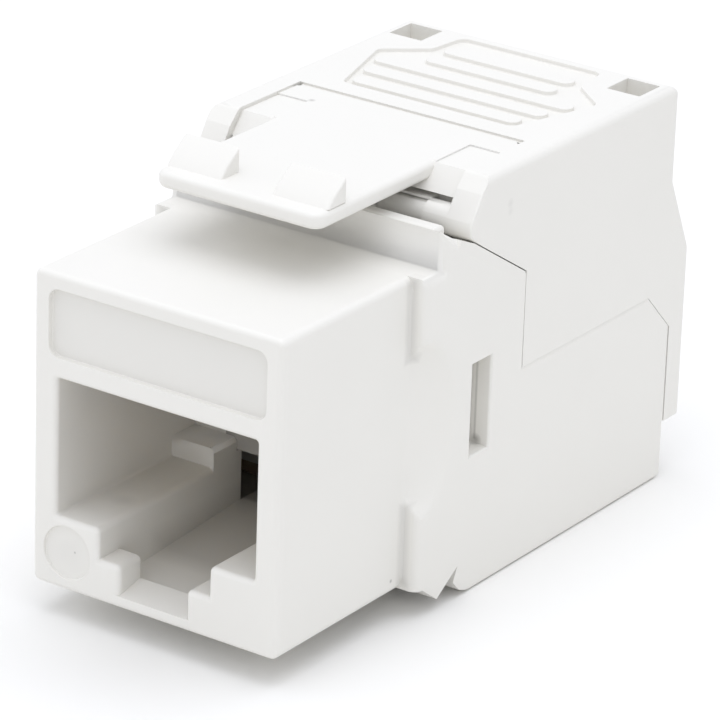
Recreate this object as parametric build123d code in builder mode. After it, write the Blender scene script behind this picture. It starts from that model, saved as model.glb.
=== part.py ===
from build123d import *
import os
from math import acos, atan2, degrees, hypot, sqrt

# Keystone jack: a snap-in modular socket with a hinged cap over its wire blades, in millimetres.
# X runs across the port, the port faces -Y, and Z is up from the face that the jack rests on.
# Depths are measured back from the nose face, and rises up from the nose's underside.

# Overall sizes and walls
total_length = 34.7
body_width = 16.5
nose_width = 14.6
nose_height = 16.34
nose_lift = 1.6
shell_wall = 1.5
floor_wall = 1.4
nose_edge_round = 0.4
moulded_edge = 0.3

# Nose face: bare label recess and round gate mark
label_width = 12.8
label_height = 3.5
label_drop = 0.8
label_depth = 0.3
label_corner = 0.6
gate_diameter = 2.8
gate_depth = 0.15
gate_side = 5.2
gate_rise = 2.0

# Plug port, with the tab slot at the bottom
port_width = 11.8
port_drop = 5.39
ledge_rise = 3.8
ledge_step_depth = 9.27
ledge_step_rise = 4.85
slot_width = 6.6
slot_floor_rise = 0.66
lip_depth = 1.7
lip_rise = 2.2
lip_gap = 4.0
notch_front_rise = 0.65
notch_back_rise = 1.03
port_corner = 0.15
port_edge_round = 0.3
nose_front_wall = 1.2
nose_roof = 2.64
rail_width = 0.6
rail_height = 0.3

# Panel flange, side ramps, and the foot under the flange
flange_depth = 10.36
shoulder_depth = 11.8
shoulder_step = 2.06
lip_thickness = 0.85
ridge_edge = 0.75
ridge_round = 0.25
flank_round = 0.5
ramp_rise = 8.5
ramp_length = 2.84
ramp_half = 4.6
ramp_root_length = 0.1
ramp_root_half = 3.7
tooth_start_depth = 10.9
tooth_tip_depth = 12.2
tooth_tip_rise = -0.95
notch_depth = 13.95
notch_rise = 0.2
heel_depth = 13.6
heel_rise = -0.6
heel_round = 0.6
foot_depth = 15.3
panel_gap = 1.96
bottom_catch_width = 7.0
bottom_catch_length = 1.5
bottom_catch_height = 0.9

# Inner bay, side windows and cable notch
bay_depth = 11.6
port_wall = 0.4
port_window_rise = 4.2
bay_step_depth = 15.3
bay_step_rise = 1.33
bay_side_rise = 0.9
bay_roof = 1.34
window_depth = 14.6
window_length = 1.65
window_rise = 5.8
window_height = 4.9
rear_wall = 1.45
cable_radius = 3.6
cable_rise = 7.4
board_rib_width = 1.0
board_rib_spread = 10.0

# Seam between the housing and the cap
seam_gap = 0.12
knuckle_gap = 0.24
rear_gap = 0.2
slope_top_depth = 12.9
slope_top_step = 1.36
seam_depth = 18.9
seam_high_drop = 2.14
seam_low_rise = 9.0
seam_chamfer = 2.1

# Hinged cap
cap_step = 3.86
cap_roof = 2.2
cap_front_depth = 15.5
cap_brow_depth = 14.74
cap_brow_drop = 0.75
cap_back_step = 2.2
cap_back_wall = 1.65
cap_upper_wall = 1.5
cap_slant_drop = 1.34
cap_slant_low = 10.2
cap_bottom_rise = 1.55
cap_edge_round = 0.45
roof_front_depth = 20.65
roof_front_slant = 0.45
hinge_depth = 14.65
hinge_step = 1.51
barrel_length = 1.4
axle_radius = 0.6
axle_length = 4.25
axle_clearance = 0.05
square_hole = 1.95
hole_edge = 1.6
hole_back = 3.9
hole_length = 1.5

# Thumb grip in the cap's roof
grip_depth = 22.0
grip_margin = 0.9
grip_front_edge = 3.15
grip_waist_edge = 1.6
grip_neck_edge = 3.75
grip_rear_edge = 4.0
grip_waist_share = 0.56
grip_neck_share = 0.75
grip_recess = 0.22
grip_rib_width = 1.0
grip_rib_pitch = 1.65
grip_rib_count = 5
grip_rib_first = 0.9
grip_rib_gap = 0.35
grip_corner = 0.5

# Panel latch
latch_side_gap = 0.1
latch_drop = 0.08
latch_bar_front = 15.8
latch_bar_thickness = 1.22
latch_slant = 1.0
latch_roof_gap = 0.2
latch_corner = 0.25
arm_back = 18.7
arm_drop = 0.08
plate_edge = 3.4
plate_front = 6.0
plate_thickness = 0.85
plate_corner = 0.7
plate_edge_round = 0.3
catch_ramp_depth = 6.9
catch_bend_depth = 7.4
catch_height = 1.28
catch_bend_height = 0.55
catch_inner = 1.5
catch_edge = 0.1
bead_depth = 17.5
bead_drop = 2.2
bead_radius = 0.55
bead_width = 8.0
bead_neck = 0.6
bead_clearance = 0.05

# Inner block with hinge ears, latch tower and blade combs
block_clearance = 0.1
block_plate = 2.2
tower_back = 18.8
tower_shoulder_drop = 0.54
tower_rib_half = 0.9
tower_rib_step = 1.96
ear_width = 1.5
ear_radius = 0.95
ear_gap = 2.75
ear_relief = 0.3
pocket_depth = 3.8
pocket_rise = 10.0
pocket_side_wall = 0.6
tab_clearance = 0.15
tab_reach = 0.45
comb_edge = 4.35
comb_width = 1.4
comb_drop = 3.54
comb_margin = 0.35

# Circuit board
board_thickness = 1.0
board_margin = 0.25
board_rib_height = 0.6
board_hole = 0.84

# Contacts: plug springs and wire blades
contact_count = 8
contact_pitch = 1.02
spring_width = 0.4
spring_thickness = 0.3
spring_bend = 0.35
spring_front_depth = 2.1
spring_knee_drop = 5.64
spring_tip_depth = 9.6
spring_tip_drop = 8.74
spring_riser_gap = 0.9
spring_roof_drop = 3.19
spring_clearance = 0.1
insert_front_depth = 2.6
insert_clearance = 0.05
blade_rows = 2
blade_pitch = 2.5
blade_last = 4.9
blade_width = 1.7
blade_thickness = 0.4
blade_drop = 2.14
blade_slot = 0.35
blade_slot_length = 3.0
blade_pin = 0.5
pin_stub = 0.35
blade_clearance = 0.06
wire_slot_width = 1.2
wire_slot_drop = 3.2

# Wire guide inside the cap
guide_side_gap = 0.15
guide_front_depth = 21.4
guide_back = 3.9
guide_drop = 3.14
guide_channel = 6.0
guide_channel_height = 3.2
guide_groove_width = 0.9

# Places worked out from the sizes above
body_half = body_width / 2
bay_half = body_half - shell_wall
port_rise = nose_height - port_drop
nose_ceiling_rise = nose_height - nose_roof
bay_front_ceiling = nose_height - bay_roof
shoulder_rise = nose_height + shoulder_step
slope_top_rise = nose_height + slope_top_step
seam_high_rise = nose_height - seam_high_drop
hinge_rise = nose_height + hinge_step
cap_rise = nose_height + cap_step
block_half = bay_half - block_clearance
port_back = bay_depth - port_wall
ridge_half = body_half - ridge_edge
body_back = total_length - cap_back_wall - rear_gap
cap_back = total_length
cap_top_back = cap_back - cap_back_step
bay_back = body_back - rear_wall
floor_rise = floor_wall - nose_lift
board_low = floor_rise + board_rib_height
board_high = board_low + board_thickness
roof_under = cap_rise - cap_roof
board_front = bay_step_depth + board_margin
board_back = bay_back - board_margin
block_front = bay_depth + block_clearance / 2
block_back = bay_back - block_clearance
plate_top = board_high + block_plate
latch_bar_half = bay_half - latch_side_gap
latch_back = roof_front_depth - latch_roof_gap
latch_top = cap_rise - latch_drop
latch_under = latch_top - latch_bar_thickness
plate_under = latch_top - plate_thickness
bead_rise = cap_rise - bead_drop
shoulder_back = shoulder_depth + lip_thickness
nose_plane = Plane.XZ.offset(total_length / 2)
contact_places = [(i - (contact_count - 1) / 2) * contact_pitch for i in range(contact_count)]
blades_per_row = contact_count // blade_rows
blade_depths = [total_length - blade_last - i * blade_pitch for i in range(blades_per_row)]
comb_inner = body_half - comb_edge
comb_rise = nose_height - comb_drop
comb_middle = comb_inner + comb_width / 2
blade_rise = nose_height - blade_drop
spring_riser_depth = bay_step_depth + spring_riser_gap
spring_roof_rise = nose_height - spring_roof_drop
guide_rise = nose_height - guide_drop
hole_side = body_half - hole_edge
barrel_end = bay_half - barrel_length
ear_outer = barrel_end - ear_gap
blade_places = [(s * comb_middle, d) for s in (-1, 1) for d in blade_depths]


def side(depth, rise):
    """A point of a side outline: depth back from the nose face, rise above the nose's underside."""
    return (depth - total_length / 2, rise + nose_lift)


def spot(x, depth, rise):
    """The same point in space."""
    return (x, depth - total_length / 2, rise + nose_lift)


def span_box(x_span, depth_span, rise_span, mode=Mode.ADD):
    """A box given by its limits across, back from the nose face and up from its underside."""
    limits = (x_span, depth_span, rise_span)
    middle = [(low + high) / 2 for low, high in limits]
    size = [high - low for low, high in limits]
    with Locations(spot(*middle)):
        Box(*size, mode=mode)


def side_shape(points, x_span, mode=Mode.ADD):
    """A straight-edged side outline carried across the jack between two values of X."""
    low, high = x_span
    with BuildSketch(Plane.YZ.offset(low)) as outline:
        with BuildLine():
            Polyline([side(*point) for point in points], close=True)
        make_face()
    extrude(outline.sketch, amount=high - low, mode=mode)


def cross_rod(radius, x_span, depth, rise, mode=Mode.ADD):
    """A round rod across the jack between two values of X."""
    low, high = x_span
    with BuildSketch(Plane.YZ.offset(low)) as section:
        with Locations(side(depth, rise)):
            Circle(radius)
    extrude(section.sketch, amount=high - low, mode=mode)


def both_sides(low, high):
    """The span of X on the right side, and its mirror image on the left."""
    return [(low, high), (-high, -low)]


# Front housing
mouth_half = port_width / 2
slot_half = slot_width / 2
lip_half = lip_gap / 2
mouth_points = [
    (-mouth_half, port_rise), (mouth_half, port_rise), (mouth_half, ledge_rise),
    (slot_half, ledge_rise), (slot_half, lip_rise), (lip_half, lip_rise),
    (lip_half, notch_front_rise), (-lip_half, notch_front_rise), (-lip_half, lip_rise),
    (-slot_half, lip_rise), (-slot_half, ledge_rise), (-mouth_half, ledge_rise),
]
throat_points = [
    (-mouth_half, port_rise), (mouth_half, port_rise), (mouth_half, ledge_rise),
    (slot_half, ledge_rise), (slot_half, slot_floor_rise),
    (-slot_half, slot_floor_rise), (-slot_half, ledge_rise), (-mouth_half, ledge_rise),
]
slope_run = seam_depth - slope_top_depth
slope_fall = slope_top_rise - seam_high_rise
slope_front_rise = slope_top_rise + (slope_top_depth - shoulder_depth) * slope_fall / slope_run
body_points = [
    (flange_depth, 0), (tooth_start_depth, 0), (tooth_tip_depth, tooth_tip_rise),
    (notch_depth, notch_rise), (heel_depth, heel_rise),
    (heel_depth + heel_round, heel_rise - heel_round), (foot_depth, -nose_lift),
    (body_back, -nose_lift), (body_back, seam_low_rise - seam_chamfer),
    (body_back - seam_chamfer, seam_low_rise), (seam_depth, seam_low_rise),
    (seam_depth, seam_high_rise), (shoulder_depth, slope_front_rise),
    (shoulder_depth, nose_height), (flange_depth, nose_height),
]
catch_back = flange_depth - panel_gap
bottom_catch_points = [
    (catch_back - bottom_catch_length, 0), (catch_back, 0), (catch_back, -bottom_catch_height),
    (catch_back - bottom_catch_length / 2, -bottom_catch_height),
]

# Ridge across the top of the shoulder, rounded before it joins the housing
with BuildPart() as shoulder_ridge:
    span_box((-ridge_half, ridge_half), (shoulder_depth, shoulder_back), (nose_height, shoulder_rise))
    fillet(shoulder_ridge.faces().sort_by(Axis.Z)[-1].edges(), radius=ridge_round)

with BuildPart() as front_housing:
    # Nose block, with its long and front edges rounded
    with BuildSketch(nose_plane):
        with Locations((0, nose_lift + nose_height / 2)):
            Rectangle(nose_width, nose_height)
    extrude(amount=-flange_depth)
    fillet(front_housing.edges().filter_by(Axis.Y), radius=nose_edge_round)
    fillet(front_housing.faces().sort_by(Axis.Y)[0].edges(), radius=moulded_edge)

    # Shaped mouth of the port
    with BuildSketch(nose_plane) as mouth:
        with BuildLine():
            Polyline([(x, rise + nose_lift) for x, rise in mouth_points], close=True)
        make_face()
        fillet(mouth.vertices().filter_by(lambda vertex: abs(vertex.X) > mouth_half - port_corner),
               radius=port_corner)
    extrude(amount=-lip_depth, mode=Mode.SUBTRACT)

    # Flange, shoulder, side walls, floor and foot from one side outline, with soft outer edges
    side_shape(body_points, (-body_half, body_half))
    flank_edges = front_housing.edges().filter_by(
        lambda edge: abs(edge.center().X) > body_half - moulded_edge / 10
        and edge.center().Y < side(seam_depth, 0)[0] - moulded_edge
        and edge.center().Z > nose_lift + moulded_edge)
    fillet(flank_edges, radius=flank_round)
    add(shoulder_ridge.part)

    # Throat behind the two lips, raised ledge ends, rounded edges, rising floors and the rear window
    with BuildSketch(nose_plane.offset(-lip_depth)) as throat:
        with BuildLine():
            Polyline([(x, rise + nose_lift) for x, rise in throat_points], close=True)
        make_face()
        fillet(throat.vertices().filter_by(lambda vertex: abs(vertex.X) > mouth_half - port_corner),
               radius=port_corner)
    extrude(amount=-(port_back - lip_depth), mode=Mode.SUBTRACT)
    for x_span in both_sides(slot_half, mouth_half):
        span_box(x_span, (ledge_step_depth, port_back), (ledge_rise - port_corner, ledge_step_rise))
    port_edges = front_housing.edges().filter_by(
        lambda edge: abs(edge.center().X) < mouth_half + port_corner
        and edge.center().Y < side(0, 0)[0] + moulded_edge / 10
        and notch_back_rise < edge.center().Z - nose_lift < port_rise + port_corner)
    port_edges += front_housing.edges().filter_by(Axis.Y).filter_by(
        lambda edge: abs(abs(edge.center().X) - slot_half) < moulded_edge / 10
        and edge.center().Z > nose_lift + ledge_rise - moulded_edge / 10)
    port_edges += front_housing.edges().filter_by(Axis.Y).filter_by(
        lambda edge: abs(abs(edge.center().X) - lip_half) < moulded_edge / 10
        and abs(edge.center().Z - nose_lift - lip_rise) < moulded_edge / 10)
    fillet(port_edges, radius=port_edge_round)
    floor_points = [(lip_depth, slot_floor_rise), (port_back, bay_step_rise), (port_back, slot_floor_rise)]
    side_shape(floor_points, (-slot_half, slot_half))
    notch_points = [(0, notch_front_rise), (lip_depth, notch_back_rise), (lip_depth, notch_front_rise)]
    side_shape(notch_points, (-lip_half, lip_half))
    port_window = (bay_step_rise, port_window_rise)
    span_box((-slot_half, slot_half), (port_back, bay_depth), port_window, Mode.SUBTRACT)

    # Cavity above the port for the contact carrier, with a rail on each side under it
    cavity_span = (-mouth_half, mouth_half)
    cavity_depths = (nose_front_wall, bay_depth)
    span_box(cavity_span, cavity_depths, (port_rise - port_corner, nose_ceiling_rise), Mode.SUBTRACT)
    for x_span in both_sides(mouth_half - rail_width, mouth_half):
        span_box(x_span, cavity_depths, (port_rise, port_rise + rail_height))

    # Bay for the inner block and the board, open to the top behind the shoulder
    bay_span = (-bay_half, bay_half)
    span_box(bay_span, (bay_depth, bay_back), (bay_step_rise, bay_front_ceiling), Mode.SUBTRACT)
    span_box(bay_span, (shoulder_back, bay_back), (bay_step_rise, cap_rise), Mode.SUBTRACT)
    span_box(bay_span, (bay_step_depth, bay_back), (floor_rise, bay_step_rise), Mode.SUBTRACT)
    for x_span in both_sides(slot_half, bay_half):
        span_box(x_span, (bay_depth, bay_step_depth), (bay_side_rise, bay_step_rise), Mode.SUBTRACT)
    for x_span in both_sides(board_rib_spread / 2, board_rib_spread / 2 + board_rib_width):
        span_box(x_span, (board_front, board_back), (floor_rise, board_low))

    # Hollow ramps beside the nose, snap windows, cable notch and the fixed catch underneath
    for direction in (-1, 1):
        for x, length, half in ((body_half, ramp_length, ramp_half),
                                (nose_width / 2, ramp_root_length, ramp_root_half)):
            with BuildSketch(Plane.YZ.offset(direction * x)):
                with Locations(side(flange_depth, ramp_rise)):
                    Ellipse(length, half)
        loft(mode=Mode.SUBTRACT)
    for x_span in both_sides(bay_half, body_half):
        window_depths = (window_depth, window_depth + window_length)
        span_box(x_span, window_depths, (window_rise, window_rise + window_height), Mode.SUBTRACT)
    with BuildSketch(nose_plane.offset(-body_back)):
        with Locations((0, cable_rise + nose_lift)):
            Circle(cable_radius)
            Rectangle(2 * cable_radius, seam_low_rise, align=(Align.CENTER, Align.MIN))
    extrude(amount=rear_wall, mode=Mode.SUBTRACT)
    side_shape(bottom_catch_points, (-bottom_catch_width / 2, bottom_catch_width / 2))

    # Label recess, left bare, and the round gate mark
    with BuildSketch(nose_plane):
        with Locations((0, nose_lift + nose_height - label_drop - label_height / 2)):
            RectangleRounded(label_width, label_height, label_corner)
    extrude(amount=-label_depth, mode=Mode.SUBTRACT)
    with BuildSketch(nose_plane):
        with Locations((-gate_side, nose_lift + gate_rise)):
            Circle(gate_diameter / 2)
    extrude(amount=-gate_depth, mode=Mode.SUBTRACT)

    # Rounded edges of the resting face
    sole_edges = front_housing.edges().filter_by(
        lambda edge: abs(edge.center().Z) < moulded_edge / 10
        and edge.center().Y > side(foot_depth, 0)[0])
    fillet(sole_edges, radius=moulded_edge)
front_housing.part.label = "front_housing"

# Hinged rear cap: its lower front edge is an arc about the hinge, just above the housing's slope
slope_length = hypot(slope_run, slope_fall)
hinge_back = hinge_depth - slope_top_depth
hinge_up = hinge_rise - slope_top_rise
hinge_over_slope = (hinge_back * slope_fall + hinge_up * slope_run) / slope_length
knuckle_radius = hinge_over_slope - knuckle_gap
brow_rise = cap_rise - cap_brow_drop
brow_back = cap_brow_depth - hinge_depth
brow_up = brow_rise - hinge_rise
brow_angle = degrees(atan2(brow_up, brow_back) + acos(knuckle_radius / hypot(brow_back, brow_up)))
cap_seam_depth = seam_depth + seam_gap
cap_seam_rise = seam_low_rise + seam_gap
cap_inner_back = cap_back - cap_back_wall
cap_slant_high = nose_height - cap_slant_drop
chamfer_sum = body_back + seam_low_rise - seam_chamfer + seam_gap * sqrt(2)
cap_slope_rise = seam_high_rise + seam_gap * (slope_length - slope_fall) / slope_run
slope_back = cap_seam_depth - hinge_depth
slope_down = hinge_rise - cap_slope_rise
slope_angle = -degrees(atan2(slope_down, slope_back) + acos(knuckle_radius / hypot(slope_back, slope_down)))
cap_points = [
    (cap_brow_depth, brow_rise), (cap_front_depth, cap_rise), (cap_top_back, cap_rise),
    (cap_top_back, cap_slant_high), (cap_back, cap_slant_low), (cap_back, cap_bottom_rise),
    (cap_inner_back, cap_bottom_rise), (cap_inner_back, chamfer_sum - cap_inner_back),
    (chamfer_sum - cap_seam_rise, cap_seam_rise), (cap_seam_depth, cap_seam_rise),
    (cap_seam_depth, cap_slope_rise),
]
roof_back = cap_top_back - cap_upper_wall
cap_inside_points = [
    (roof_front_depth, cap_rise), (roof_front_depth + roof_front_slant, roof_under),
    (roof_back, roof_under), (roof_back, cap_slant_high), (cap_inner_back, cap_slant_low),
    (cap_inner_back, cap_bottom_rise), (flange_depth, cap_bottom_rise), (flange_depth, cap_rise),
]
grip_back = cap_top_back - grip_margin
grip_length = grip_back - grip_depth
waist_depth = grip_depth + grip_waist_share * grip_length
neck_depth = grip_depth + grip_neck_share * grip_length
grip_front_half = body_half - grip_front_edge
grip_waist_half = body_half - grip_waist_edge
grip_rear_half = body_half - grip_rear_edge
grip_half = [
    (grip_front_half, grip_depth), (grip_waist_half, waist_depth),
    (body_half - grip_neck_edge, neck_depth), (grip_rear_half, grip_back),
]

with BuildPart() as rear_cap:
    with BuildSketch(Plane.YZ.offset(-body_half)):
        with BuildLine():
            knuckle = CenterArc(side(hinge_depth, hinge_rise), knuckle_radius, brow_angle,
                                360 + slope_angle - brow_angle)
            Polyline([knuckle @ 0] + [side(*point) for point in cap_points] + [knuckle @ 1])
        make_face()
    extrude(amount=body_width)
    outer_edges = rear_cap.faces().sort_by(Axis.Z)[-1].edges()
    outer_edges += rear_cap.faces().sort_by(Axis.Y)[-1].edges()
    fillet(outer_edges, radius=cap_edge_round)
    side_shape(cap_inside_points, bay_span, Mode.SUBTRACT)

    # Stepped stub axles inside the cheeks
    for direction in (-1, 1):
        near, far = direction * (bay_half + moulded_edge), direction * barrel_end
        cross_rod(knuckle_radius, (min(near, far), max(near, far)), hinge_depth, hinge_rise)
        tip = direction * (barrel_end - axle_length)
        cross_rod(axle_radius, (min(far, tip), max(far, tip)), hinge_depth, hinge_rise)

    # Square holes over the side walls, and the cable notch open to the bottom
    hole_depths = (cap_back - hole_back - square_hole / 2, cap_back - hole_back + square_hole / 2)
    for x_span in both_sides(hole_side - square_hole / 2, hole_side + square_hole / 2):
        span_box(x_span, hole_depths, (cap_rise - hole_length, cap_rise), Mode.SUBTRACT)
    with BuildSketch(nose_plane.offset(-cap_back)):
        with Locations((0, cable_rise + nose_lift)):
            Circle(cable_radius)
            Rectangle(2 * cable_radius, cable_rise, align=(Align.CENTER, Align.MAX))
    extrude(amount=cap_back_step + cap_upper_wall, mode=Mode.SUBTRACT)

    # Thumb grip: a shallow waisted recess with rounded ribs left standing in it
    with BuildSketch(Plane.XY.offset(cap_rise + nose_lift - grip_recess)) as grip:
        with BuildLine():
            outline = grip_half + [(-x, depth) for x, depth in reversed(grip_half)]
            Polyline([(x, side(depth, 0)[0]) for x, depth in outline], close=True)
        make_face()
        fillet(grip.vertices(), radius=grip_corner)
        for i in range(grip_rib_count):
            depth = grip_depth + grip_rib_first + i * grip_rib_pitch
            widening = (grip_waist_half - grip_front_half) * (depth - grip_depth) / (waist_depth - grip_depth)
            inside = grip_front_half + widening if depth < waist_depth else grip_rear_half
            with Locations((0, side(depth, 0)[0])):
                SlotOverall(2 * (inside - grip_rib_gap), grip_rib_width, mode=Mode.SUBTRACT)
    extrude(amount=grip_recess, mode=Mode.SUBTRACT)
rear_cap.part.label = "rear_cap"

# Panel latch: wide bar, plate over the nose and two catches, with a bead that rocks in the block
plate_half = body_half - plate_edge
bar_points = [
    (latch_bar_front, latch_top), (latch_back, latch_top), (latch_back, latch_under),
    (latch_bar_front - latch_slant, latch_under),
]
catch_points = [
    (catch_ramp_depth, latch_top), (catch_bend_depth, latch_top + catch_bend_height),
    (catch_back, latch_top + catch_height), (catch_back, latch_top),
]
with BuildPart() as release_latch:
    # Plate over the nose, with its front edges rounded
    with BuildSketch(Plane.XY.offset(plate_under + nose_lift)) as plate:
        plate_length = latch_back - plate_front
        with Locations((0, side(plate_front, 0)[0])):
            Rectangle(2 * plate_half, plate_length, align=(Align.CENTER, Align.MIN))
        fillet(plate.vertices().group_by(Axis.Y)[0], radius=plate_corner)
    extrude(amount=plate_thickness)
    fillet(release_latch.faces().sort_by(Axis.Y)[0].edges().filter_by(Axis.X), radius=plate_edge_round)

    # Wide bar with its rear corners cut, its arms a little lower, and room for the block's ears under it
    side_shape(bar_points, (-latch_bar_half, latch_bar_half))
    chamfer(release_latch.faces().sort_by(Axis.Y)[-1].edges().filter_by(Axis.Z), length=latch_corner)
    arm_depths = (latch_bar_front - latch_slant, arm_back)
    for x_span in both_sides(plate_half, latch_bar_half):
        span_box(x_span, arm_depths, (latch_top - arm_drop, latch_top), Mode.SUBTRACT)
    ear_room = ear_outer + ear_relief
    ear_depths = (latch_bar_front - latch_slant, hinge_depth + ear_radius + ear_relief)
    span_box((-ear_room, ear_room), ear_depths, (latch_under, plate_under), Mode.SUBTRACT)

    # Two catches, and the bead that rocks in the block's groove
    for x_span in both_sides(catch_inner, plate_half - catch_edge):
        side_shape(catch_points, x_span)
    bead_span = (-bead_width / 2, bead_width / 2)
    span_box(bead_span, (bead_depth - bead_neck / 2, bead_depth + bead_neck / 2), (bead_rise, latch_under))
    cross_rod(bead_radius, bead_span, bead_depth, bead_rise)
release_latch.part.label = "release_latch"

# Inner block: tower behind the port, hinge ears, latch groove, blade combs and snap tabs
tower_rib_rise = nose_height + tower_rib_step
spring_half = spring_width / 2 + spring_clearance
spring_reach = spring_thickness / 2 + spring_clearance
block_span = (-block_half, block_half)
comb_front = min(blade_depths) - blade_width / 2 - comb_margin
comb_back = max(blade_depths) + blade_width / 2 + comb_margin
with BuildPart() as idc_block:
    span_box(block_span, (board_front, block_back), (board_high, plate_top))
    tower_low = bay_step_rise + block_clearance
    tower_high = bay_front_ceiling - block_clearance
    span_box(block_span, (block_front, tower_back), (tower_low, tower_high))
    shoulder_depths = (shoulder_back + block_clearance, tower_back)
    span_box(block_span, shoulder_depths, (plate_top, nose_height - tower_shoulder_drop))

    # Rib with the groove that the latch's bead snaps into
    rib_span = (-bead_width / 2 - tower_rib_half, bead_width / 2 + tower_rib_half)
    rib_depths = (bead_depth - tower_rib_half, bead_depth + tower_rib_half)
    span_box(rib_span, rib_depths, (tower_high, tower_rib_rise))
    cross_rod(bead_radius + bead_clearance, rib_span, bead_depth, bead_rise, Mode.SUBTRACT)

    # Ears that carry the cap's axles
    for x_span in both_sides(ear_outer - ear_width, ear_outer):
        cross_rod(ear_radius, x_span, hinge_depth, hinge_rise)
        span_box(x_span, (hinge_depth - ear_radius, hinge_depth + ear_radius), (tower_high, hinge_rise))
        cross_rod(axle_radius + axle_clearance, x_span, hinge_depth, hinge_rise, Mode.SUBTRACT)

    # Dark pocket behind the port's rear window, and the channels for the plug springs
    pocket_half = block_half - pocket_side_wall
    pocket_depths = (block_front, block_front + pocket_depth)
    span_box((-pocket_half, pocket_half), pocket_depths, (tower_low, pocket_rise), Mode.SUBTRACT)
    for x in contact_places:
        x_span = (x - spring_half, x + spring_half)
        roof_rises = (spring_roof_rise - spring_reach, spring_roof_rise + spring_reach)
        riser_depths = (spring_riser_depth - spring_reach, spring_riser_depth + spring_reach)
        span_box(x_span, (block_front, riser_depths[1]), roof_rises, Mode.SUBTRACT)
        span_box(x_span, riser_depths, (board_high, roof_rises[1]), Mode.SUBTRACT)

    # Two combs with a slot for each blade and a notch across it for the wire
    for x_span in both_sides(comb_inner, comb_inner + comb_width):
        span_box(x_span, (comb_front, comb_back), (plate_top, comb_rise))
    slot_reach = blade_width / 2 + blade_clearance
    slot_half_width = blade_thickness / 2 + blade_clearance
    slot_rises = (board_high, blade_rise + blade_clearance)
    for x, depth in blade_places:
        blade_span = (x - slot_half_width, x + slot_half_width)
        span_box(blade_span, (depth - slot_reach, depth + slot_reach), slot_rises, Mode.SUBTRACT)
        wire_span = (x - comb_width / 2, x + comb_width / 2)
        wire_depths = (depth - wire_slot_width / 2, depth + wire_slot_width / 2)
        span_box(wire_span, wire_depths, (comb_rise - wire_slot_drop, comb_rise), Mode.SUBTRACT)

    # Snap tabs in the side windows
    tab_depths = (window_depth + tab_clearance, window_depth + window_length - tab_clearance)
    tab_rises = (window_rise + tab_clearance, window_rise + window_height - tab_clearance)
    for x_span in both_sides(block_half, block_half + tab_reach):
        span_box(x_span, tab_depths, tab_rises)
idc_block.part.label = "idc_block"

# Contact carrier in the nose
insert_low = port_rise + rail_height + insert_clearance
insert_high = nose_ceiling_rise - insert_clearance
insert_half = mouth_half - insert_clearance
with BuildPart() as contact_insert:
    insert_depths = (insert_front_depth, bay_depth - insert_clearance)
    span_box((-insert_half, insert_half), insert_depths, (insert_low, insert_high))
    for x in contact_places:
        groove_rises = (spring_roof_rise - spring_reach, insert_high)
        span_box((x - spring_half, x + spring_half), insert_depths, groove_rises, Mode.SUBTRACT)
contact_insert.part.label = "contact_insert"

# Circuit board on the housing's two ribs
board_half = bay_half - board_margin
with BuildPart() as circuit_board:
    span_box((-board_half, board_half), (board_front, board_back), (board_low, board_high))
    pin_places = [(x, spring_riser_depth) for x in contact_places] + blade_places
    for x, depth in pin_places:
        hole_span = (x - board_hole / 2, x + board_hole / 2)
        board_hole_depths = (depth - board_hole / 2, depth + board_hole / 2)
        span_box(hole_span, board_hole_depths, (board_low, board_high), Mode.SUBTRACT)
circuit_board.part.label = "circuit_board"

# Wire guide under the cap's roof
guide_half = bay_half - guide_side_gap
guide_depths = (guide_front_depth, cap_back - guide_back)
with BuildPart() as wire_guide:
    span_box((-guide_half, guide_half), guide_depths, (guide_rise, roof_under))
    channel_rises = (guide_rise, guide_rise + guide_channel_height)
    span_box((-guide_channel / 2, guide_channel / 2), guide_depths, channel_rises, Mode.SUBTRACT)
    groove_span = (comb_middle - guide_groove_width / 2, comb_middle + guide_groove_width / 2)
    for x_span in both_sides(*groove_span):
        span_box(x_span, guide_depths, (guide_rise, blade_rise + guide_groove_width / 2), Mode.SUBTRACT)
    for depth in blade_depths:
        wire_depths = (depth - wire_slot_width / 2, depth + wire_slot_width / 2)
        wire_rises = (guide_rise, guide_rise + wire_slot_width)
        span_box((-guide_half, guide_half), wire_depths, wire_rises, Mode.SUBTRACT)
wire_guide.part.label = "wire_guide"

# Plug springs: a pin in the board, up through the block, over the carrier and down into the port
pin_end = board_low - pin_stub
spring_points = [
    (spring_riser_depth, pin_end), (spring_riser_depth, spring_roof_rise),
    (spring_front_depth, spring_roof_rise), (spring_front_depth, nose_height - spring_knee_drop),
    (spring_tip_depth, nose_height - spring_tip_drop),
]
springs = []
for number, x in enumerate(contact_places, start=1):
    with BuildPart() as spring:
        with BuildLine(Plane.YZ.offset(x)) as path:
            FilletPolyline([side(*point) for point in spring_points], radius=spring_bend)
        with BuildSketch(Plane(path.line @ 0, x_dir=(1, 0, 0), z_dir=path.line % 0)):
            Rectangle(spring_width, spring_thickness)
        sweep()
    spring.part.label = f"contact_spring_{number}"
    springs.append(spring)

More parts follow.
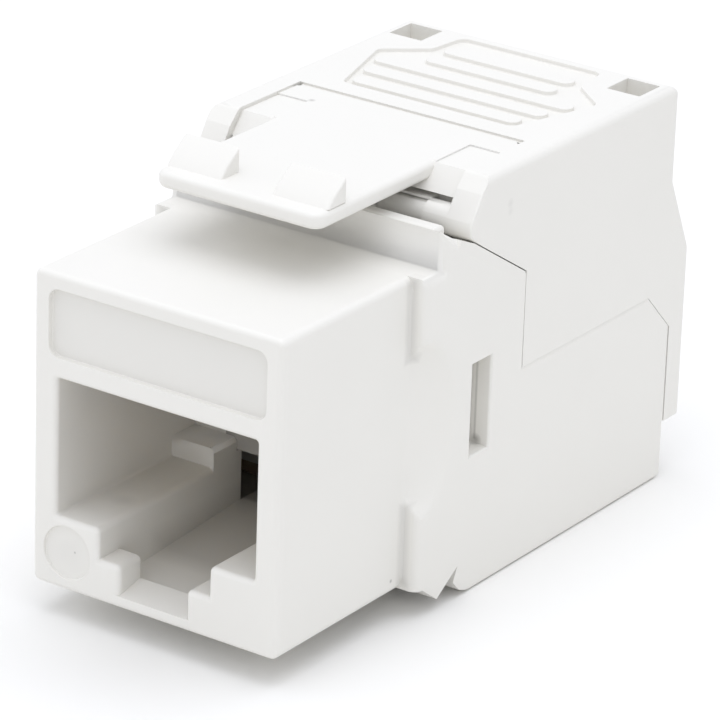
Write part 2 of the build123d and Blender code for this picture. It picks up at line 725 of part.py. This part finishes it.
# Wire blades: slotted plates in two rows, each with a pin in the board
blades = []
for number, (x, depth) in enumerate(blade_places, start=1):
    mid, foot = side(depth, board_high)
    tip = blade_rise + nose_lift
    with BuildPart() as blade:
        with BuildSketch(Plane.YZ.offset(x - blade_thickness / 2)):
            with Locations((mid, foot)):
                Rectangle(blade_width, tip - foot, align=(Align.CENTER, Align.MIN))
                Rectangle(blade_pin, board_high - pin_end, align=(Align.CENTER, Align.MAX))
            with Locations((mid, tip)):
                Rectangle(blade_slot, blade_slot_length, align=(Align.CENTER, Align.MAX), mode=Mode.SUBTRACT)
            with BuildLine():
                mouth_reach = blade_width / 2 - blade_slot
                Polyline([(mid - mouth_reach, tip), (mid + mouth_reach, tip), (mid, tip - 2 * mouth_reach)],
                         close=True)
            make_face(mode=Mode.SUBTRACT)
        extrude(amount=blade_thickness)
    blade.part.label = f"idc_blade_{number}"
    blades.append(blade)

# One file for each piece
os.makedirs("parts", exist_ok=True)
mouldings = [front_housing, rear_cap, release_latch, idc_block, contact_insert, circuit_board, wire_guide]
for piece in mouldings + springs + blades:
    export_step(piece.part, f"parts/{piece.part.label}.step")
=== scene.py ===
# %% [markdown]
# # A keystone jack in moulded white plastic
#
# The jack is a small socket that snaps into a wall plate: a nose with the plug's port, a T-shaped latch on
# top, and a hinged cap behind that covers the wire blades. The solids come from the CAD model at their real
# size. This lesson gives them moulded edges, their finishes, a floor, soft light and a camera.
#
# Sizes and places below are in millimetres, and MM turns them into the metres that Blender uses. The front
# of the nose is at -Y and the floor is at z = 0. The Standard view shows a colour about as it is written.

# %% Load the frame
import bpy
import bmesh
import math
from mathutils import Matrix, Vector


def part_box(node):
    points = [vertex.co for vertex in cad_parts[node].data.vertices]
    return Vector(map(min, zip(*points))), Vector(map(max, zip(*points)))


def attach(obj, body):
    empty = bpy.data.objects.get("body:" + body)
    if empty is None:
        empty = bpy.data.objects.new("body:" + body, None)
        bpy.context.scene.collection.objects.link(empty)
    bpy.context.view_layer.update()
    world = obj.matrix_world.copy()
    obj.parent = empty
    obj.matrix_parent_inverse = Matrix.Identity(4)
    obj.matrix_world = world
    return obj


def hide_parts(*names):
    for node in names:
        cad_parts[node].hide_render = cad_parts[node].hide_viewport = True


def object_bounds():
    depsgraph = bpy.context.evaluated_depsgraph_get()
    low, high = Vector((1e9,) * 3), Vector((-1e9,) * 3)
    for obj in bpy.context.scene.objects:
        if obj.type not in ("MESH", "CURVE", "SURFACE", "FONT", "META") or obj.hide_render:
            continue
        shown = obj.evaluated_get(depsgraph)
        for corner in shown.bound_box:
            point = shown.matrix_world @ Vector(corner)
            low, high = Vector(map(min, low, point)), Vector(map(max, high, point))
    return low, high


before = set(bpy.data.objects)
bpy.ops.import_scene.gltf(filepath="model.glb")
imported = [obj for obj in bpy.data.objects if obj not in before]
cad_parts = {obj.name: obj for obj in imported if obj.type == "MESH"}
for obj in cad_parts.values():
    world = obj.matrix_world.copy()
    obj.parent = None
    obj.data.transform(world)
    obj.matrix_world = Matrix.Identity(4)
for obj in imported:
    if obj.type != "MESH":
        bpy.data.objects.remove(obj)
cad_low, cad_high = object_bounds()
MM = 0.001
scene = bpy.context.scene
scene.view_settings.view_transform = "Standard"
size_mm = [round((high - low) / MM, 2) for low, high in zip(cad_low, cad_high)]
print("solids:", len(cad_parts), "size in mm:", size_mm)

# %% [markdown]
# ## The camera
#
# The photograph was taken from the front right and from above, with a long lens, because the jack's far
# edges are hardly smaller than its near ones. Two angles say where the camera stands, and a third says how
# far it was rolled. A camera looks along its own -Z, so its three axes are worked out and put in a matrix.

# %% Camera
camera_azimuth = math.radians(34.29)
camera_elevation = math.radians(22.68)
camera_roll = math.radians(1.97)
camera_spot = Vector((124.9, -183.58, 102.26)) * MM
camera_lens = 240.8
nearest_view = 10 * MM

backward = Vector((
    math.sin(camera_azimuth) * math.cos(camera_elevation),
    -math.cos(camera_azimuth) * math.cos(camera_elevation),
    math.sin(camera_elevation),
))
level_right = Vector((math.cos(camera_azimuth), math.sin(camera_azimuth), 0))
level_up = backward.cross(level_right)
right = math.cos(camera_roll) * level_right + math.sin(camera_roll) * level_up
up = backward.cross(right)
turned = Matrix((right, up, backward)).transposed().to_4x4()

camera = bpy.data.objects.new("camera", bpy.data.cameras.new("camera"))
camera.data.lens = camera_lens
camera.data.clip_start = nearest_view
camera.matrix_world = Matrix.Translation(camera_spot) @ turned
scene.collection.objects.link(camera)
scene.camera = camera
print("camera is", round(camera_spot.length / MM), "mm from the jack")

# %% [markdown]
# ## Helpers for the finishes
#
# Colours are written as they look on a screen, in hex, and a shader works in linear light, so one function
# turns the first into the second. Another adds one shader node with its settings and its links, so a finish
# reads as a short list of nodes. Every finish reads Object coordinates, so its pattern stays on the piece
# when the piece moves.

# %% Colour and node helpers
def linear(hex_colour):
    """The linear colour, with alpha 1, of an sRGB hex value such as EDECE9."""
    parts = [int(hex_colour[i:i + 2], 16) / 255 for i in (0, 2, 4)]
    return [p / 12.92 if p <= 0.04045 else ((p + 0.055) / 1.055) ** 2.4 for p in parts] + [1.0]


def add(tree, kind, settings=(), links=()):
    """A new node: settings go to its sockets or properties by name, and links join other sockets to it."""
    node = tree.nodes.new(kind)
    for name, value in dict(settings).items():
        if isinstance(name, int) or name in node.inputs:
            node.inputs[name].default_value = value
        else:
            setattr(node, name, value)
    for name, socket in dict(links).items():
        tree.links.new(socket, node.inputs[name])
    return node


def new_finish(name):
    """An empty material, with the shader and the coordinates that every finish here starts from."""
    material = bpy.data.materials.new(name)
    material.use_nodes = True
    tree = material.node_tree
    tree.nodes.clear()
    place = add(tree, "ShaderNodeTexCoord").outputs["Object"]
    shader = add(tree, "ShaderNodeBsdfPrincipled")
    add(tree, "ShaderNodeOutputMaterial", links={"Surface": shader.outputs["BSDF"]})
    return material, tree, place, shader


def per_metre(millimetres):
    """The scale of a pattern whose features are that many millimetres apart."""
    return 1 / (millimetres * MM)


print("screen grey 808080 is", round(linear("808080")[0], 3), "in linear light")

# %% [markdown]
# ## Specks and painted shade on the white plastic
#
# A few dark specks may be burnt plastic or dust, and each has its own place. Round spots of painted shade
# share their list, and so does a dark spot on the port's ledge. A spot is drawn from the distance to its
# place, so it fades out at its edge.
#
# Some corners and hollows are greyer than the light of this scene makes them, so painted shade darkens their
# colour there. It could be painted on an image, but a box with a soft edge does it with a few nodes. The box
# comes from how far a point lies beyond its sides, and the largest of those three distances counts.

# %% Where the specks and the painted shade are
# A speck or a round spot of painted shade has a place, a radius and a strength
specks_and_shade_spots = [
    # Dot on the latch, two faint marks on the cap's right side, and a dot low on the nose's side
    ((-4.78, 1.55, 21.72), 0.24, 0.32),
    ((8.25, -0.08, 19.9), 0.30, 0.09),
    ((8.25, -0.04, 19.48), 0.28, 0.07),
    ((7.3, -7.82, 2.32), 0.13, 0.45),
    # Dot in the round gate mark, painted shade in its hollow, a dark spot on the port's ledge, and painted
    # shade in the corner of the right window
    ((-4.8, -17.2, 3.7), 0.08, 0.40),
    ((-5.2, -17.2, 3.6), 1.60, 0.06),
    ((-4.4, -13.85, 5.4), 0.75, 0.10),
    ((7.5, -1.1, 7.62), 0.36, 0.45),
]
# A box of painted shade has a middle, half its size, the width of its soft edge and a strength
painted_shade_boxes = [
    # Painted shade on the floor of the recess over the port
    ((0, -17.05, 15.39), (6.4, 0.25, 1.75), 0.12, 0.07),
    # Painted shade in the pocket behind the port, on the wall over its window, and at the back of the tab
    # slot's floor
    ((0, -3.4, 5.5), (6.2, 2.3, 4.5), 0.30, 0.35),
    ((0, -5.98, 7.0), (4.0, 0.20, 1.3), 0.02, 0.50),
    ((0, -8.4, 2.45), (5.0, 4.9, 1.6), 1.40, 0.20),
]
for side in (1, -1):
    # Painted shade along a line in the side window, and in the upper and lower corner between nose and flange
    painted_shade_boxes.append(((side * 7.41, -1.05, 9.7), (0.09, 0.20, 2.1), 0.06, 0.28))
    for middle_height in (15.7, 4.0):
        painted_shade_boxes.append(((side * 7.45, -6.95, middle_height), (0.35, 0.50, 2.3), 0.35, 0.20))
print("marks:", len(specks_and_shade_spots), "specks,", len(painted_shade_boxes), "toned places")

# %% How a speck or painted shade is drawn
spot_core = 0.2


def speck_and_shade_share(tree, place, spot, radius, strength):
    """The share of dark in a speck or a round spot of painted shade: its strength in the core, and nothing
    past its radius.
    """
    away = add(tree, "ShaderNodeVectorMath", {"operation": "DISTANCE", 1: Vector(spot) * MM}, {0: place})
    fall = {"From Min": spot_core * radius * MM, "From Max": radius * MM, "To Min": strength, "To Max": 0.0}
    return add(tree, "ShaderNodeMapRange", fall, {"Value": away.outputs["Value"]})


def painted_shade_share(tree, place, middle, half, fade, strength):
    """The share of painted shade in a box: its strength inside the box, and nothing past its sides."""
    offset = add(tree, "ShaderNodeVectorMath", {"operation": "SUBTRACT", 1: Vector(middle) * MM}, {0: place})
    across = add(tree, "ShaderNodeVectorMath", {"operation": "ABSOLUTE"}, {0: offset.outputs["Vector"]})
    beyond = add(tree, "ShaderNodeVectorMath", {"operation": "SUBTRACT", 1: Vector(half) * MM},
                 {0: across.outputs["Vector"]})
    sides = add(tree, "ShaderNodeSeparateXYZ", links={"Vector": beyond.outputs["Vector"]}).outputs
    wide = add(tree, "ShaderNodeMath", {"operation": "MAXIMUM"}, {0: sides["X"], 1: sides["Y"]})
    far = add(tree, "ShaderNodeMath", {"operation": "MAXIMUM"}, {0: wide.outputs["Value"], 1: sides["Z"]})
    fall = {"From Min": -fade * MM, "From Max": 0.0, "To Min": strength, "To Max": 0.0}
    return add(tree, "ShaderNodeMapRange", fall, {"Value": far.outputs["Value"]})


print("a speck is at its darkest over", spot_core, "of its radius")

# %% [markdown]
# ## White ABS, injection moulded
#
# The housing, cap, latch and inner block are ABS, moulded in a steel tool whose surface was spark-eroded.
# That leaves a fine matt grain and a slightly warm white, so the eye sees wide soft highlights and no mirror
# image. Broad, faint clouds come from how the plastic flowed and cooled. The grain is about 0.05 mm in the
# real thing, and it is drawn at 0.12 mm so that it shows.

# %% White moulded ABS
flow_clouds = 6.0
mould_grain = 0.12
grain_height = 0.01 * MM
grain_strength = 0.15
abs_gloss = {"To Min": 0.40, "To Max": 0.52}
abs_index = 1.53


def white_moulded_abs():
    """Matt warm white with a fine grain, and the specks and painted shade mixed in one after the other."""
    material, tree, place, shader = new_finish("white_moulded_abs")
    flow = add(tree, "ShaderNodeTexNoise", {"Scale": per_metre(flow_clouds), "Detail": 2.0},
               {"Vector": place})
    grain = add(tree, "ShaderNodeTexNoise", {"Scale": per_metre(mould_grain), "Detail": 3.0},
                {"Vector": place})
    tint = add(tree, "ShaderNodeMix", {"data_type": "RGBA"}, {"Factor": flow.outputs["Fac"]})
    tint.inputs["A"].default_value = linear("EBE9E3")
    tint.inputs["B"].default_value = linear("E8E6E0")
    colour = tint.outputs["Result"]
    shares = [speck_and_shade_share(tree, place, *dark_spot) for dark_spot in specks_and_shade_spots]
    shares += [painted_shade_share(tree, place, *shade_box) for shade_box in painted_shade_boxes]
    # Each speck, and each spot or box of painted shade, mixes the colour towards the same dark grey-brown
    for share in shares:
        spot_and_shade_mix = add(tree, "ShaderNodeMix", {"data_type": "RGBA"},
                   {"Factor": share.outputs["Result"], "A": colour})
        spot_and_shade_mix.inputs["B"].default_value = linear("4A443D")
        colour = spot_and_shade_mix.outputs["Result"]
    tree.links.new(colour, shader.inputs["Base Color"])
    matt = add(tree, "ShaderNodeMapRange", abs_gloss, {"Value": grain.outputs["Fac"]})
    tree.links.new(matt.outputs["Result"], shader.inputs["Roughness"])
    relief = add(tree, "ShaderNodeBump", {"Strength": grain_strength, "Distance": grain_height},
                 {"Height": grain.outputs["Fac"]})
    tree.links.new(relief.outputs["Normal"], shader.inputs["Normal"])
    shader.inputs["IOR"].default_value = abs_index
    return material


abs_white = white_moulded_abs()
print("made", abs_white.name, "with", len(abs_white.node_tree.nodes), "nodes")

# %% [markdown]
# ## The inner plastic and the board
#
# The carrier that the plug springs bend round is black plastic filled with short glass fibres, which dull its
# gloss. The circuit board is glass fibre under a coat of green solder mask. It was cut from a larger panel,
# so its front edge is bare and tan. That edge shows at the back of the port, and a colour that changes with
# depth gives it.

# %% Black plastic
def black_filled_plastic():
    """Near black, with a gloss that varies over the 0.15 mm of a fibre, so it looks dry."""
    material, tree, place, shader = new_finish("black_filled_plastic")
    fibres = add(tree, "ShaderNodeTexNoise", {"Scale": per_metre(0.15), "Detail": 3.0}, {"Vector": place})
    matt = add(tree, "ShaderNodeMapRange", {"To Min": 0.42, "To Max": 0.6}, {"Value": fibres.outputs["Fac"]})
    tree.links.new(matt.outputs["Result"], shader.inputs["Roughness"])
    shader.inputs["Base Color"].default_value = linear("2E2A28")
    return material


carrier_black = black_filled_plastic()
print("made", carrier_black.name)

# %% Green solder mask
board_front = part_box("circuit_board")[0][1]
bare_edge = {
    "From Min": board_front + 0.03 * MM,
    "From Max": board_front + 0.1 * MM,
    "To Min": 1.0,
    "To Max": 0.0,
}


def green_solder_mask():
    """Glossy green that clouds over 1.5 mm, where the coat is thicker or thinner, and a bare front edge."""
    material, tree, place, shader = new_finish("green_solder_mask")
    cloud = add(tree, "ShaderNodeTexNoise", {"Scale": per_metre(1.5)}, {"Vector": place})
    tint = add(tree, "ShaderNodeMix", {"data_type": "RGBA"}, {"Factor": cloud.outputs["Fac"]})
    tint.inputs["A"].default_value = linear("1B5A36")
    tint.inputs["B"].default_value = linear("24693F")
    depth = add(tree, "ShaderNodeSeparateXYZ", links={"Vector": place}).outputs["Y"]
    bare = add(tree, "ShaderNodeMapRange", bare_edge, {"Value": depth})
    edge = add(tree, "ShaderNodeMix", {"data_type": "RGBA"},
               {"Factor": bare.outputs["Result"], "A": tint.outputs["Result"]})
    edge.inputs["B"].default_value = linear("A08C7A")
    tree.links.new(edge.outputs["Result"], shader.inputs["Base Color"])
    shader.inputs["Roughness"].default_value = 0.3
    return material


board_green = green_solder_mask()
print("made", board_green.name, "with a bare edge at y =", round(board_front / MM, 2), "mm")

# %% [markdown]
# ## The metals
#
# Plug springs are bronze wire plated with gold, which doesn't tarnish where a plug slides. The wire blades
# are stamped from bronze sheet and tinned, which is greyer and duller. Both are metals in the shader, so
# their colour is the colour of their reflections. A noise in the roughness stands for drawn wire and for a
# tin coat.

# %% Gold and tin
def gold_plated_bronze():
    """Bright yellow metal, with reflections that stay sharp and waver over about 0.2 mm."""
    material, tree, place, shader = new_finish("gold_plated_bronze")
    drawn = add(tree, "ShaderNodeTexNoise", {"Scale": per_metre(0.2), "Detail": 3.0}, {"Vector": place})
    polish = add(tree, "ShaderNodeMapRange", {"To Min": 0.18, "To Max": 0.34},
                 {"Value": drawn.outputs["Fac"]})
    tree.links.new(polish.outputs["Result"], shader.inputs["Roughness"])
    shader.inputs["Base Color"].default_value = linear("E3BC62")
    shader.inputs["Metallic"].default_value = 1.0
    return material


def tinned_bronze():
    """Dull silver metal, with the soft spots of a tin coat at about 0.3 mm."""
    material, tree, place, shader = new_finish("tinned_bronze")
    dull = add(tree, "ShaderNodeTexNoise", {"Scale": per_metre(0.3), "Detail": 3.0}, {"Vector": place})
    polish = add(tree, "ShaderNodeMapRange", {"To Min": 0.28, "To Max": 0.5}, {"Value": dull.outputs["Fac"]})
    tree.links.new(polish.outputs["Result"], shader.inputs["Roughness"])
    shader.inputs["Base Color"].default_value = linear("C9CACB")
    shader.inputs["Metallic"].default_value = 1.0
    return material


contact_gold = gold_plated_bronze()
blade_tin = tinned_bronze()
print("made", contact_gold.name, "and", blade_tin.name)

# %% [markdown]
# ## A finish for each solid
#
# Each solid of the CAD model comes with one material slot, whose name says what the piece is made of. The
# slot keeps its place and gets the finish of that name.

# %% Give each solid its finish
finish_of_slot = {
    "white_moulding": abs_white,
    "black_carrier": carrier_black,
    "green_board": board_green,
    "gold_contact": contact_gold,
    "tinned_blade": blade_tin,
}
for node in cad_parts.values():
    slot_name = node.data.materials[0].name
    node.data.materials[0] = finish_of_slot[slot_name]
print("finishes:", sorted(material.name for material in finish_of_slot.values()))

# %% [markdown]
# ## Moulded edges
#
# A steel tool is never quite sharp, and plastic shrinks as it cools, so every moulded edge is a little round.
# The CAD model has the rounds that one can measure. The rest, a tenth of a millimetre or so, are made here on
# a copy of each moulding: its triangles are merged and joined to flat faces, and then the sharp edges inside
# a box are bevelled, one box after the other, each with its own width. A bevel modifier would round all edges
# alike, and that would eat the narrow ribs.

# %% Round the edges in a box
same_place = 0.012 * MM
flat_turn = math.radians(0.5)
sharp_turn = math.radians(35)
round_steps = 5


def merged_copy(name):
    """A bmesh of a solid, with its loose triangles merged and joined to flat faces."""
    shape = bmesh.new()
    shape.from_mesh(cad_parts[name].data)
    bmesh.ops.remove_doubles(shape, verts=shape.verts, dist=same_place)
    bmesh.ops.dissolve_limit(shape, angle_limit=flat_turn, verts=shape.verts, edges=shape.edges)
    return shape


def round_edges(shape, low, high, width):
    """Bevel the sharp edges whose middle lies between two corners of a box."""
    chosen = []
    for edge in shape.edges:
        middle = (edge.verts[0].co + edge.verts[1].co) / (2 * MM)
        inside = all(a <= m <= b for a, m, b in zip(low, middle, high))
        if inside and edge.is_manifold and edge.calc_face_angle() > sharp_turn:
            chosen.append(edge)
    bmesh.ops.bevel(shape, geom=chosen, offset=width * MM, segments=round_steps, profile=0.5,
                    affect="EDGES", clamp_overlap=True, material=-1)
    print("rounded", len(chosen), "edges by", width, "mm")


print("an edge counts as sharp past", round(math.degrees(sharp_turn)), "degrees")

# %% [markdown]
# ## Ramps that run into the flanks
#
# Beside the nose a hollow ramp leads from the flange into the flank, and on the moulding it has no edge
# there. A bevel can't give that, because the edge fades out along its length. So planes cut the surface into
# a fine net, row by row, and the net is smoothed a few times, which moves each point towards its neighbours.

# %% Blend a surface
net_step = 0.25 * MM
cut_reach = 0.0001 * MM
blend_turns = 8
blend_pull = 0.5


def faces_in_box(shape, low, high):
    """The faces that reach into a box."""
    found = []
    for face in shape.faces:
        reach = [[vert.co[k] for vert in face.verts] for k in range(3)]
        if all(min(r) <= b and max(r) >= a for r, a, b in zip(reach, low, high)):
            found.append(face)
    return found


def blend_surface(shape, low, high):
    """Cut the surface inside a box into a fine net, and smooth the net so that its forms run together."""
    for axis in (1, 2):
        across = Vector((0, 0, 0))
        across[axis] = 1
        level = low[axis]
        while level <= high[axis]:
            faces = faces_in_box(shape, low, high)
            edges = {edge for face in faces for edge in face.edges}
            verts = {vert for face in faces for vert in face.verts}
            bmesh.ops.bisect_plane(shape, geom=faces + list(edges) + list(verts), dist=cut_reach,
                                   plane_co=across * level, plane_no=across)
            level += net_step
    inside = [v for v in shape.verts if all(a < c < b for a, c, b in zip(low, v.co, high))]
    for turn in range(blend_turns):
        bmesh.ops.smooth_vert(shape, verts=inside, factor=blend_pull,
                              use_axis_x=True, use_axis_y=True, use_axis_z=True)
    print("blended", len(inside), "points")


print("net of", net_step / MM, "mm, smoothed", blend_turns, "times")

# %% [markdown]
# ## The three mouldings
#
# The copies take the place of the CAD solids and ride on the same bodies. Smooth shading makes each round
# look round, and edges that turn by more than 20 degrees stay crisp. A weighted normal keeps the flat faces
# flat, so that only the narrow strips turn.

# %% Finish a moulding
smooth_turn = math.radians(20)


def softened(name, body, rounds, blends=()):
    """A copy of a moulding with rounded edges: a round is two corners of a box and a width."""
    shape = merged_copy(name)
    for low, high, width in rounds:
        round_edges(shape, low, high, width)
    for low, high in blends:
        blend_surface(shape, Vector(low) * MM, Vector(high) * MM)
    mesh = bpy.data.meshes.new(name + "_soft")
    shape.to_mesh(mesh)
    shape.free()
    mesh.shade_smooth()
    mesh.set_sharp_from_angle(angle=smooth_turn)
    piece = bpy.data.objects.new(name + "_soft", mesh)
    scene.collection.objects.link(piece)
    mesh.materials.append(abs_white)
    even = piece.modifiers.new("flat_faces", "WEIGHTED_NORMAL")
    even.keep_sharp = True
    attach(piece, body)
    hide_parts(name)
    print("made", piece.name, "with", len(mesh.polygons), "faces")
    return piece


def both_sides(low, high):
    """The corners of a box on the right side, and of its mirror image on the left."""
    return [(low, high), ((-high[0], low[1], low[2]), (-low[0], high[1], high[2]))]


print("faces that turn less than", round(math.degrees(smooth_turn)), "degrees are shaded as one")

# %% Housing
window_boxes = both_sides((8.2, -2.8, 7.3), (8.3, -1.0, 12.4))
housing_rounds = [
    # Recess over the port, round gate mark, and the side windows
    ((-6.7, -17.4, 13.5), (6.7, -17.0, 17.3), 0.12),
    ((-6.7, -17.4, 2.1), (-3.7, -17.1, 5.1), 0.065),
] + [(low, high, 0.12) for low, high in window_boxes]
ramp_boxes = both_sides((7.28, -7.6, 2.0), (8.4, -3.6, 17.4))
ramp_boxes += both_sides((7.8, -5.45, 16.8), (8.4, -3.6, 19.4))
softened("front_housing", "housing", housing_rounds, ramp_boxes)

# %% Cap and latch
cheek_boxes = both_sides((8.2, -3.6, 18.3), (8.3, -1.5, 21.0))
cap_rounds = [
    # Thumb grip, the two square holes, and the front of the cheeks
    ((-6.7, 4.6, 21.5), (6.7, 14.3, 21.9), 0.08),
    ((-7.7, 12.4, 21.7), (7.7, 14.5, 21.9), 0.1),
] + [(low, high, 0.3) for low, high in cheek_boxes]
latch_rounds = [
    # The two catches
    ((-4.8, -10.5, 21.8), (4.8, -8.9, 23.1), 0.12),
]
softened("rear_cap", "cap", cap_rounds)
softened("release_latch", "latch", latch_rounds)

# %% [markdown]
# ## Lips in the seams
#
# The seams of the jack look like faint thin lines. The moving solids need real gaps between them, and in a
# render an open gap is a deep black line. So a thin lip fills most of each gap, just under the surface. It is
# how this model keeps the seams faint, and a real jack may have a closer fit instead. A lip is drawn as an
# outline of depth and height, and then extruded along X.

# %% Draw a lip
def drawn_piece(name, body, outline, x_from, x_to):
    """A piece with an outline of depth and height points, extruded from one x to another."""
    shape = bmesh.new()
    face = shape.faces.new([shape.verts.new(Vector((x_from, y, z)) * MM) for y, z in outline])
    pulled = bmesh.ops.extrude_face_region(shape, geom=[face])
    moved = [item for item in pulled["geom"] if isinstance(item, bmesh.types.BMVert)]
    bmesh.ops.translate(shape, verts=moved, vec=((x_to - x_from) * MM, 0, 0))
    bmesh.ops.recalc_face_normals(shape, faces=shape.faces)
    mesh = bpy.data.meshes.new(name)
    shape.to_mesh(mesh)
    shape.free()
    mesh.materials.append(abs_white)
    piece = bpy.data.objects.new(name, mesh)
    scene.collection.objects.link(piece)
    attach(piece, body)
    print("made", name, "with", len(mesh.polygons), "faces")


def drawn_pair(name, body, outline, x_from, x_to):
    """The piece on the right side, and its mirror image on the left."""
    drawn_piece(name + "_right", body, outline, x_from, x_to)
    drawn_piece(name + "_left", body, outline, -x_from, -x_to)


print("the jack's side is at x =", round(cad_high[0] / MM, 3), "mm, and the side lips end just under it")

# %% Lips between housing and cap
seam_near = [(15.5, 3.2), (15.5, 8.5), (13.4, 10.6), (1.55, 10.6), (1.55, 15.75)]
seam_far = [(15.6, 3.2), (15.6, 8.54), (13.44, 10.7), (1.65, 10.7), (1.65, 15.75)]
slope_lip = [(1.2, 15.31), (1.55, 15.31), (1.56, 15.86), (-3.12, 18.73), (-4.3, 19.2), (-4.6, 18.68)]
seam_outer = 8.235
slope_outer = 8.245
lip_inner = 7.5
drawn_pair("seam_lip", "housing", seam_near + seam_far[::-1], seam_outer, lip_inner)
drawn_pair("slope_lip", "housing", slope_lip, slope_outer, lip_inner)

# %% Lips between cap and latch
roof_lip = [(3.17, 21.68), (3.5, 21.68), (3.5, 21.56), (3.2, 21.56)]
cheek_lip = [(-2.45, 20.55), (-1.58, 21.6), (1.38, 21.6), (1.38, 21.68), (2.7, 21.68), (2.7, 20.55)]
inside_half = 6.6
cheek_wall = 6.76
beside_arm = 6.665
drawn_piece("roof_lip", "cap", roof_lip, -inside_half, inside_half)
drawn_pair("cheek_lip", "cap", cheek_lip, cheek_wall, beside_arm)

# %% [markdown]
# ## Web and sills at the axle
#
# Under the latch one can look past the cap's axle into the jack. A low web behind the axle closes that view,
# and a flat sill over the thin part of the axle makes the slot above it narrower. Both leave room for the
# latch when it is pressed and for the axle when the cap turns.

# %% Web and sills
axle_web = [(-1.88, 19.0), (-1.5, 19.0), (-1.5, 20.3), (-1.88, 20.3)]
axle_sill = [(-2.62, 20.08), (-1.88, 20.08), (-1.88, 20.2), (-2.62, 20.2)]
beside_barrel = 5.3
beside_ear = 2.95
drawn_piece("axle_web", "housing", axle_web, -inside_half, inside_half)
drawn_pair("axle_sill", "housing", axle_sill, beside_barrel, beside_ear)

# %% [markdown]
# ## The floor
#
# The jack lies on a white sheet. Paper scatters light evenly and hardly shines, so it is rough and has little
# gloss. It is a trace warmer than grey, because the light is a trace cool, and the two together look neutral.
# The sheet darkens only where the jack keeps the light away.

# %% Floor
floor_size = 1.0
sheet = bmesh.new()
bmesh.ops.create_grid(sheet, x_segments=1, y_segments=1, size=floor_size)
floor_mesh = bpy.data.meshes.new("floor")
sheet.to_mesh(floor_mesh)
sheet.free()
floor = bpy.data.objects.new("floor", floor_mesh)
scene.collection.objects.link(floor)


def white_paper():
    """Dead matt white, with almost no gloss."""
    material, tree, place, shader = new_finish("white_paper")
    shader.inputs["Base Color"].default_value = linear("F4F3F0")
    shader.inputs["Roughness"].default_value = 0.9
    shader.inputs["Specular IOR Level"].default_value = 0.2
    return material


floor_mesh.materials.append(white_paper())
print("floor is", 2 * floor_size, "m across")

# %% [markdown]
# ## The light
#
# Most of the light comes from all round, as in a photographer's light tent, so the shadows are soft and lie
# close to the jack. Three large square lamps give its faces their different shades: one overhead for the
# tops, a weak one on the left, and one in front for the nose. All light is a trace cool, as daylight is,
# which makes the warm plastic look white.

# %% Sky
sky_level = 0.79
light_colour = linear("F7F9FF")
world = bpy.data.worlds.new("studio")
scene.world = world
world.use_nodes = True
sky_tree = world.node_tree
sky_tree.nodes.clear()
sky = add(sky_tree, "ShaderNodeBackground", {"Strength": sky_level})
sky.inputs["Color"].default_value = light_colour
add(sky_tree, "ShaderNodeOutputWorld", links={"Surface": sky.outputs["Background"]})
print("sky strength:", sky_level)

# %% Lamps
# A lamp has a place, a size in millimetres and a power in watts
lamps = {
    "overhead": ((40, 20, 420), 420, 0.84),
    "left": ((-380, -80, 180), 300, 0.21),
    "front": ((60, -260, 360), 500, 0.32),
}
jack_middle = Vector((0, 0, 10)) * MM


def soft_box(name, spot, size, watts):
    """A square lamp that faces the jack."""
    lamp = bpy.data.lights.new(name, "AREA")
    lamp.size = size * MM
    lamp.energy = watts
    lamp.color = light_colour[:3]
    holder = bpy.data.objects.new(name, lamp)
    holder.location = Vector(spot) * MM
    aim = jack_middle - holder.location
    holder.rotation_euler = aim.to_track_quat("-Z", "Y").to_euler()
    scene.collection.objects.link(holder)


for lamp_name, (spot, size, watts) in lamps.items():
    soft_box(lamp_name, spot, size, watts)
